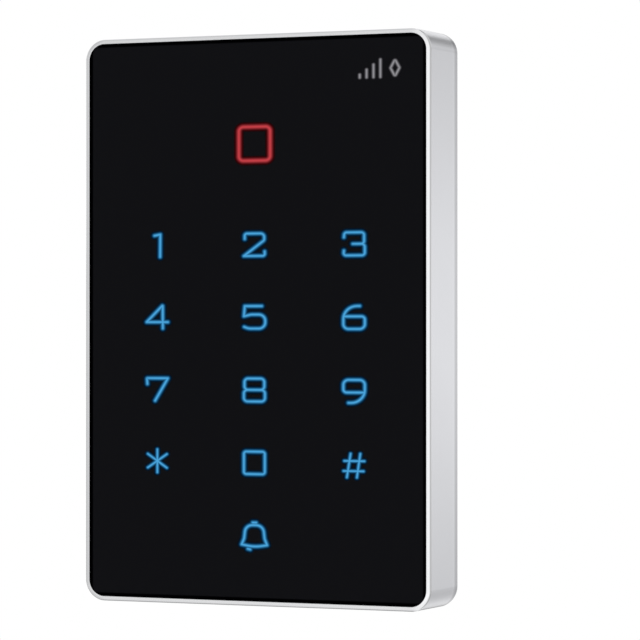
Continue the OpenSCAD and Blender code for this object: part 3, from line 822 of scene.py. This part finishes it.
def soften(made, width, segments=3, angle=40):
    """Rounds a piece's sharp edges with a Bevel modifier, before its normals are weighted."""
    bevel = made.modifiers.new("soft edges", "BEVEL")
    bevel.width = width
    bevel.segments = segments
    bevel.limit_method = "ANGLE"
    bevel.angle_limit = radians(angle)
    bevel.harden_normals = False
    made.modifiers.move(len(made.modifiers) - 1, 0)
    return made


pane_mesh = slab("glass_pane", glass_low, glass_high, corner_r - lip_w - glass_gap)
pane = piece("glass_pane", pane_mesh, "reader", ["front_glass"], [printed_glass])
soften(pane, GROUND_EDGE)

# %% [markdown]
# ## The signs
#
# Each sign is drawn with a pen: a few strokes, each a line of points in millimetres from
# the middle of its key. A point's third number is the bend of the line there. A sharp
# corner is the end of one stroke and the start of the next, as the pen has a round tip.

# %% Pen strokes
SIX = [(1.27, 2.37, 0), (-2.43, 2.37, 3.1), (-2.43, -2.39, 1.2), (2.43, -2.39, 1.2),
       (2.43, 0.22, 0.8), (-2.2, 0.22, 0)]


def ring(left, right, low, high, bend):
    """A closed round-cornered stroke."""
    return [(left, low, bend), (right, low, bend), (right, high, bend), (left, high, bend)]


OPEN_STROKES = {
    "1": [[(-0.68, 2.2, 0), (0.7, 2.44, 0)], [(0.7, 2.44, 0), (0.66, -2.33, 0)]],
    "2": [[(-2.26, 1.3, 0), (-2.26, 2.42, 0.55), (2.26, 2.42, 0.9), (2.26, 1.0, 0.7),
           (-2.45, -2.28, 0)], [(-2.45, -2.28, 0), (2.4, -2.28, 0.55), (2.36, -1.35, 0)]],
    "3": [[(-2.3, 1.4, 0), (-2.2, 2.42, 0.6), (2.26, 2.42, 0.7), (2.26, 0.04, 0.7),
           (-0.3, 0.04, 0)], [(1.0, 0.04, 0), (2.41, 0.04, 0.8), (2.41, -2.35, 0.7),
                              (-2.41, -2.35, 0.6), (-2.3, -1.35, 0)]],
    "4": [[(1.18, 2.52, 0), (-2.53, -0.92, 0)], [(-2.53, -0.95, 0), (2.5, -0.95, 0)],
          [(1.27, 2.46, 0), (1.3, -2.3, 0)]],
    "5": [[(1.7, 2.4, 0), (-2.24, 2.4, 0)], [(-2.24, 2.4, 0), (-2.45, 0.27, 0)],
          [(-2.45, 0.27, 0), (-0.8, 0.63, 2.5), (2.5, 0.63, 1.5), (2.5, -2.31, 1.5),
           (-1.4, -2.31, 3.0), (-2.36, -1.96, 0)]],
    "6": [SIX],
    "7": [[(-2.37, 1.1, 0), (-2.48, 2.34, 0.2), (2.5, 2.34, 0)],
          [(2.5, 2.34, 0), (-0.53, -2.43, 0)]],
    "9": [[(-x, -0.12 - y, bend) for x, y, bend in SIX]],
    "star": [[(0, -2.45, 0), (0, 2.45, 0)], [(-2.25, -1.45, 0), (2.25, 1.45, 0)],
             [(-2.25, 1.45, 0), (2.25, -1.45, 0)]],
    "hash": [[(-1.62, -2.73, 0), (-0.79, 2.19, 0)], [(0.64, -2.73, 0), (1.4, 2.19, 0)],
             [(-2.2, 0.68, 0), (2.32, 0.68, 0)], [(-2.38, -1.41, 0), (2.12, -1.41, 0)]],
    "bell": [[(-2.97, -2.02, 0), (-2.4, -0.75, 1.8), (-2.05, 2.08, 1.8), (2.0, 2.08, 1.8),
              (2.36, -0.75, 1.8), (2.92, -2.06, 0)],
             [(-2.97, -2.02, 0), (0, -2.54, 9.0), (2.92, -2.06, 0)],
             [(-0.4, 2.6, 0), (0.4, 2.6, 0)], [(-1.52, -2.92, 0), (-1.0, -3.04, 0)]],
}
CLOSED_STROKES = {
    "8": [ring(-2.32, 2.29, 0.03, 2.41, 0.9), ring(-2.46, 2.43, -2.4, 0.03, 0.9)],
    "0": [ring(-2.45, 2.4, -2.43, 2.29, 0.6)],
    "indicator": [ring(-3.62, 3.63, -3.6, 3.5, 1.1)],
}
print("signs drawn:", len(OPEN_STROKES) + len(CLOSED_STROKES))

# %% [markdown]
# The two status signs in the corner are plain marks of this model's own: four bars that
# rise like a signal, and a small lozenge.

# %% Status marks
BAR_HEIGHTS = (0.6, 1.6, 2.6, 3.6)
BAR_PITCH = 1.55
BAR_FOOT = -2.0
bars = []
for number, height in enumerate(BAR_HEIGHTS):
    bar_x = (number - 1.5) * BAR_PITCH
    bars.append([(bar_x, BAR_FOOT, 0), (bar_x, BAR_FOOT + height, 0)])
OPEN_STROKES["signal"] = bars
lozenge = [(0, -1.95, 0.2), (1.0, -0.2, 0.2), (0, 1.55, 0.2), (-1.0, -0.2, 0.2)]
CLOSED_STROKES["lozenge"] = [lozenge]
print("status marks drawn:", len(bars), "bars and a lozenge")

# %% [markdown]
# A tree draws the strokes. It sweeps a very flat kite along each, which gives the stroke
# a low roof, and puts a flat cone on each open end to round it off.

# %% Sweep a pen along strokes
def pen_tree(pen, material):
    """A tree that draws the strokes of a line mesh with a roofed pen."""
    shape = Shape("pen", Pen=pen, Roof=ROOF, Steps=8)
    line = bent_line(shape, shape.size("Steps"))
    rise = shape.size("Roof")
    sizes = {"Width": shape.size("Pen"), "Top Height": rise, "Bottom Height": rise}
    tip = shape.node("GeometryNodeCurvePrimitiveQuadrilateral", {"mode": "KITE"}, sizes)
    bar = shape.node("GeometryNodeCurveToMesh", None, {0: line, 1: tip, "Fill Caps": True})
    foot = shape.size("Pen") * 0.5
    sizes = {"Vertices": 32, "Radius Top": 0, "Radius Bottom": foot, "Depth": rise}
    cone = shape.node("GeometryNodeMeshCone", None, sizes)
    ends = shape.node("GeometryNodeCurveEndpointSelection")
    is_open = 1 - shape.node("GeometryNodeInputSplineCyclic")
    inputs = {"Points": line, "Selection": ends * is_open, "Instance": cone}
    caps = shape.node("GeometryNodeInstanceOnPoints", None, inputs)
    shape.finish(shape.moved(shape.join(bar, caps), turn=UPRIGHT), material)
    return shape


print("strokes to draw:", sum(len(strokes) for strokes in OPEN_STROKES.values()))

# %% [markdown]
# The pen's tip is a little wider than it is tall, so upright strokes come out wider than
# level ones. The strokes are stretched first, drawn, and squeezed back afterwards.

# %% Draw the signs
TIP = 1.15
KEY_PEN, FINE_PEN, INDICATOR_PEN, STATUS_PEN = 2.16 * MM, 1.78 * MM, 2.5 * MM, 1.2 * MM
SIGN_RISE = 0.1 * MM
KEYPAD = ("123", "456", "789", ("star", "0", "hash"))


def signs(name, spots, pen, material):
    """One piece of several signs: each spot names a sign and its place."""
    lines = []
    for sign, x, z in spots:
        for store, closed in ((OPEN_STROKES, False), (CLOSED_STROKES, True)):
            for stroke in store.get(sign, []):
                placed = [(x + a * MM, (z + b * MM) * TIP, bend * MM) for a, b, bend in stroke]
                lines.append((placed, closed))
    mesh = pen_tree(pen, material).bake(name, line_mesh(name + "_lines", lines))
    squeeze = Matrix.Diagonal((1, 1, 1 / TIP, 1))
    mesh.transform(Matrix.Translation((0, glass_front, SIGN_RISE)) @ squeeze)
    return piece(name, mesh, "reader", weighted=False)


key_spots = []
for row, keys in enumerate(KEYPAD):
    for column, key in enumerate(keys):
        key_spots.append((key, (column - 1) * key_pitch_x, bell_z + (4 - row) * key_pitch_z))
key_spots.append(("bell", 0, bell_z))
fine = [spot for spot in key_spots if spot[0] in ("star", "hash")]
bold = [spot for spot in key_spots if spot not in fine]
square = [("indicator", 0, indicator_z)]
marks = [("signal", status_xs[0], status_z), ("lozenge", status_xs[1], status_z)]

signs("key_digits", bold, KEY_PEN, blue_light)
signs("key_symbols", fine, FINE_PEN, blue_light)
signs("indicator_square", square, INDICATOR_PEN, red_light)
signs("status_marks", marks, STATUS_PEN, grey_light)

# %% [markdown]
# ## Soft edges behind
#
# Sheet steel, moulded covers and screws never have knife edges. These parts show from
# behind, so each gets a copy of its ready-made shape in which the triangles of a flat
# face are joined again and the edges are rounded by a Bevel modifier.

# %% Round the edges of the parts that show behind
FLAT_ANGLE = radians(0.5)


def softened(name, body, width):
    """A copy of a ready-made part with rounded edges, which stands in for it."""
    work = bmesh.new()
    work.from_mesh(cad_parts[name].data)
    bmesh.ops.remove_doubles(work, verts=work.verts, dist=DOUBLES)
    limit = {"use_dissolve_boundaries": False, "verts": work.verts, "edges": work.edges}
    bmesh.ops.dissolve_limit(work, angle_limit=FLAT_ANGLE, **limit)
    mesh = bpy.data.meshes.new(name + "_soft")
    work.to_mesh(mesh)
    work.free()
    made = piece(name + "_soft", mesh, body, [name])
    return soften(made, width)


SOFT_PARTS = [("wall_bracket", "bracket", 0.15 * MM), ("rear_cover", "reader", 0.15 * MM),
              ("cable_grommet", "reader", 0.15 * MM), ("clinch_nut", "bracket", 0.1 * MM),
              ("security_screw", "screw", 0.1 * MM)]
soft = {name: softened(name, body, width) for name, body, width in SOFT_PARTS}
print("parts with soft edges:", len(soft))

# %% [markdown]
# ## Finishes for the ready-made parts
#
# The other parts already have their true shape, so they only need a finish. A table
# says which part gets which, and one loop hands them out.

# %% Finishes for the parts
FINISHES = [
    (black_abs, "rear_cover"),
    (chip_black, "processor_chip", "touch_chip", "memory_chip", "voltage_regulator",
     "protection_diodes", "radio_module"),
    (dark_plastic, "light_baffle", "legend_film", "relay_base", "buzzer"),
    (ivory, "wire_connector"),
    (white_case, "relay_case"),
    (milky, "diffuser_sheet"),
    (led_yellow, "key_leds", "indicator_leds", "status_leds"),
    (ferrite, "power_inductor"),
    (photocell, "tamper_light_sensor"),
    (clear_plastic, "tamper_window"),
    (soft_black, "cable_grommet", "rear_seal"),
    (foam, "glass_gasket"),
    (sheet_zinc, "wall_bracket"),
    (steel, "cover_screws", "board_screws", "hanger_pins", "clinch_nut", "security_screw"),
    (soft_iron, "relay_yoke", "relay_armature"),
    (tinned, "radio_shield", "crystal_can"),
    (can_metal, "capacitors"),
    (gold, "touch_springs", "connector_pins"),
    (antenna_wire, "antenna_coil"),
    (relay_wire, "relay_coil"),
    (board_green, "main_board"),
]
finished = 0
for material, *names in FINISHES:
    for name in names:
        for shown in (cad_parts[name], soft.get(name)):
            if shown:
                shown.data.materials.clear()
                shown.data.materials.append(material)
        finished += 1
print("parts finished:", finished)

# %% [markdown]
# ## The studio
#
# The reader hangs free in a white room. Where the camera looks straight at it, the world
# is pure white. What metal and glass mirror is drawn apart, by the direction of the ray:
# a bright wall behind the reader and dimmer ones round it, a darker and a brighter band
# above and below that wall, and a black card just where the glass mirrors. So the frame's
# round corners show bands and the glass stays black, as in a real studio.

# %% The room that metal and glass mirror
def compass(degrees):
    """Degrees from the reader's front towards its right, as a place on the ramp of walls."""
    return degrees / 360 + 0.5


# Each pair is a place on a ramp and a brightness. WALLS goes once round the reader, from
# its back by way of its left, front and right. GLOW_BEHIND goes from level to upright, the
# next two tables from left to right, and AHEAD from straight below to straight above.
WALLS = [(compass(-180), 1.0), (compass(-150), 1.0), (compass(-135), 0.88), (compass(-98), 0.84),
         (compass(-78), 0.52), (compass(-44), 0.58), (compass(-14), 0.87), (compass(34), 0.84),
         (compass(48), 0.5), (compass(125), 0.54), (compass(148), 1.0), (compass(180), 1.0)]
GLOW_BEHIND = [(0.0, 1.0), (0.1, 0.57), (0.4, 0.84), (1.0, 0.75)]
ABOVE_BEHIND = [(0.4, 0.86), (0.48, 0.78), (0.52, 0.4), (0.55, 0.22), (0.6, 0.34), (0.64, 0.5),
                (0.67, 0.68), (0.69, 0.8)]
BELOW_BEHIND = [(0.24, 0.88), (0.33, 0.66), (0.36, 0.62), (0.41, 0.74), (0.465, 0.83),
                (0.52, 0.74), (0.57, 0.64), (0.67, 0.54)]
AHEAD = [(0.0, 0.85), (0.3, 0.86), (0.4, 0.98), (0.45, 0.893), (0.575, 0.893), (0.7, 0.786),
         (1.0, 0.786)]
GAIN, AHEAD_GAIN = 1.15, 1.12
SEAM = 0.2
LEVEL_TO, STEEP_FROM = 0.12, 0.24
CARD_TURN, CARD_HALF_TURN = compass(-24.2), 4.8 / 360
CARD_HALF_HEIGHT, CARD_SHADE = 0.1, 0.92
CORNER_SIDE, CORNER_TOP, CORNER_SHADE = -0.28, 0.02, 0.6


def mirrored_room(graph):
    """How bright the room is in a mirror, for the direction of a ray."""
    view = graph.node("ShaderNodeTexCoord").out("Generated")
    split = graph.node("ShaderNodeSeparateXYZ", None, {0: view})
    x, y, z = split.out("X"), split.out("Y"), split.out("Z")

    def ramp(value, stops):
        return graph.node("ShaderNodeValToRGB", {"stops": stops}, {0: value})

    turn = x.math("ARCTAN2", y * -1) * (1 / radians(360)) + 0.5
    side = x * 0.5 + 0.5
    steep = graph.node("ShaderNodeMapRange", None, {0: abs(z), 1: LEVEL_TO, 2: STEEP_FROM})
    bands = ramp(side, ABOVE_BEHIND) * (z > 0) + ramp(side, BELOW_BEHIND) * (z < 0)
    behind = ramp(abs(z), GLOW_BEHIND) * (1 - steep) + bands * steep
    ahead = ramp(z * 0.5 + 0.5, AHEAD) * AHEAD_GAIN
    back = graph.node("ShaderNodeMapRange", None, {0: y, 1: -SEAM, 2: SEAM})
    level = ramp(turn, WALLS) * (behind * back + ahead * (1 - back)) * GAIN
    card = (abs(turn - CARD_TURN) < CARD_HALF_TURN) * (abs(z) < CARD_HALF_HEIGHT)
    corner = (x < CORNER_SIDE) * (y > 0) * (z < CORNER_TOP)
    return level * (1 - card * CARD_SHADE) * (1 - corner * CORNER_SHADE)


print("stops that draw the room:", len(WALLS) + len(ABOVE_BEHIND) + len(BELOW_BEHIND) + len(AHEAD))

# %% [markdown]
# The world tells the kinds of rays apart. The camera sees white, mirrors see the room,
# and every other ray finds an even, soft light that fills the shadows.

# %% World
def studio_world(lit=0.55):
    world = bpy.data.worlds.new("studio")
    world.use_nodes = True
    bpy.context.scene.world = world
    graph = Graph(world.node_tree)
    level = mirrored_room(graph)
    rays = graph.node("ShaderNodeLightPath")
    mirror = rays.out("Is Glossy Ray").math("MAXIMUM", rays.out("Is Transmission Ray"))
    seen = rays.out("Is Camera Ray")
    strength = seen + (1 - seen) * (mirror * level + (1 - mirror) * lit)
    color = {"Color": (1, 1, 1, 1), "Strength": strength}
    light = graph.node("ShaderNodeBackground", None, color)
    graph.node("ShaderNodeOutputWorld", None, {"Surface": light})
    print("nodes in the world:", len(graph.tree.nodes))


studio_world()

# %% [markdown]
# A pale floor lies some way below and keeps the reader's soft shadow. Farther out it fades
# into the white of the world. Mirrors don't see it, so it can't grey the glass, and it is
# clear from below, so the reader's underside can be looked at through it.

# %% Floor
def studio_floor(drop=60 * MM, near=0.14, far=0.5, half=0.6):
    level = shell_low.z - drop
    mesh = bpy.data.meshes.new("floor")
    quarters = [(-1, -1), (1, -1), (1, 1), (-1, 1)]
    mesh.from_pydata([(a * half, b * half, level) for a, b in quarters], [], [(0, 1, 2, 3)])
    floor = bpy.data.objects.new("floor", mesh)
    bpy.context.scene.collection.objects.link(floor)
    paint = Paint("pale_floor", (0.82, 0.82, 0.82), 0.75, Specular_IOR_Level=0.2)
    x, y, _ = paint.axes()
    distance = (x * x + y * y).math("SQRT")
    paint.set(Base_Color=paint.noise(6 * MM, 3.0) * 0.02 + 0.81)
    rays = paint.node("ShaderNodeLightPath")
    fade = paint.node("ShaderNodeMapRange", {"interpolation_type": "SMOOTHSTEP"},
                      {0: distance, 1: near, 2: far})
    white = paint.node("ShaderNodeEmission", None, {"Strength": 1.0})
    plain = Wire(paint, paint.shader.outputs[0])
    faded = {0: fade * rays.out("Is Camera Ray"), 1: plain, 2: white}
    above = paint.node("ShaderNodeMixShader", None, faded)
    under = paint.node("ShaderNodeNewGeometry").out("Backfacing")
    clear = paint.node("ShaderNodeBsdfTransparent")
    sided = paint.node("ShaderNodeMixShader", None, {0: under, 1: above, 2: clear})
    output = paint.tree.nodes["Material Output"]
    paint.tree.links.new(sided.socket, output.inputs["Surface"])
    mesh.materials.append(paint.material)
    floor.visible_glossy = False
    print("floor at", round(level, 3), "m")


studio_floor()

# %% [markdown]
# Three big square lamps light the matt surfaces. Metal shows the painted room instead of
# the lamps, as they are hidden from mirrors, and so no lamp burns a white spot into it.

# %% Lamps
LAMP_SIDE = 1.6


def softbox(name, turn, rise, distance, power):
    """A square lamp that faces the reader from a given side and height, in degrees."""
    lamp = bpy.data.objects.new(name, bpy.data.lights.new(name, "AREA"))
    lamp.data.shape = "SQUARE"
    lamp.data.size = LAMP_SIDE
    lamp.data.energy = power
    place = Vector((0, -distance, 0))
    place.rotate(Matrix.Rotation(-radians(rise), 3, "X"))
    place.rotate(Matrix.Rotation(radians(turn), 3, "Z"))
    lamp.location = place
    lamp.rotation_euler = (-place).to_track_quat("-Z", "Y").to_euler()
    lamp.visible_glossy = False
    bpy.context.scene.collection.objects.link(lamp)


softbox("key_lamp", 55, 58, 1.5, 8)
softbox("fill_lamp", -75, 55, 1.5, 5)
softbox("back_lamp", -150, 60, 1.6, 6)

# %% [markdown]
